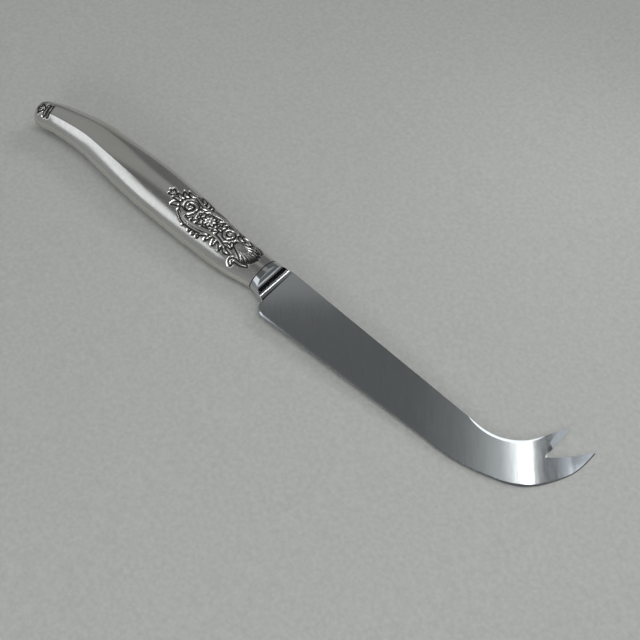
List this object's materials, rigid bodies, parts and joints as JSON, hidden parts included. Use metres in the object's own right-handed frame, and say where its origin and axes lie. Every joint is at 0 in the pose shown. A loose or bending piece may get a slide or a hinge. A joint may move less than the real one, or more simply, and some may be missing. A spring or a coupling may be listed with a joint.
{
  "type": "cheese knife",
  "caption": "Cheese knife with a hollow metal handle, a concave bolster and a long wedge-ground blade whose upswept tip ends in a fork.",
  "frame": {"origin": "middle of the knife's length and width, on the level of its lowest point", "axes": "+X from the handle's butt to the blade's tip, +Y from the cutting edge to the spine, +Z out of the front face"},
  "size_m": [0.2084, 0.0344, 0.011],
  "materials": {
    "blade_steel": "satin ground, with bright ground bevels",
    "handle_metal": "polished silver-coloured plate, darkened in the recesses of its relief",
    "solder": "polished flush with the shells",
    "cement": "matte cast filling, hidden"
  },
  "bodies": {
    "root": {"blade": "blade_steel", "front_handle_shell": "handle_metal", "back_handle_shell": "handle_metal", "solder_seam": "solder", "handle_cement": "cement"}
  },
  "joints": []
}
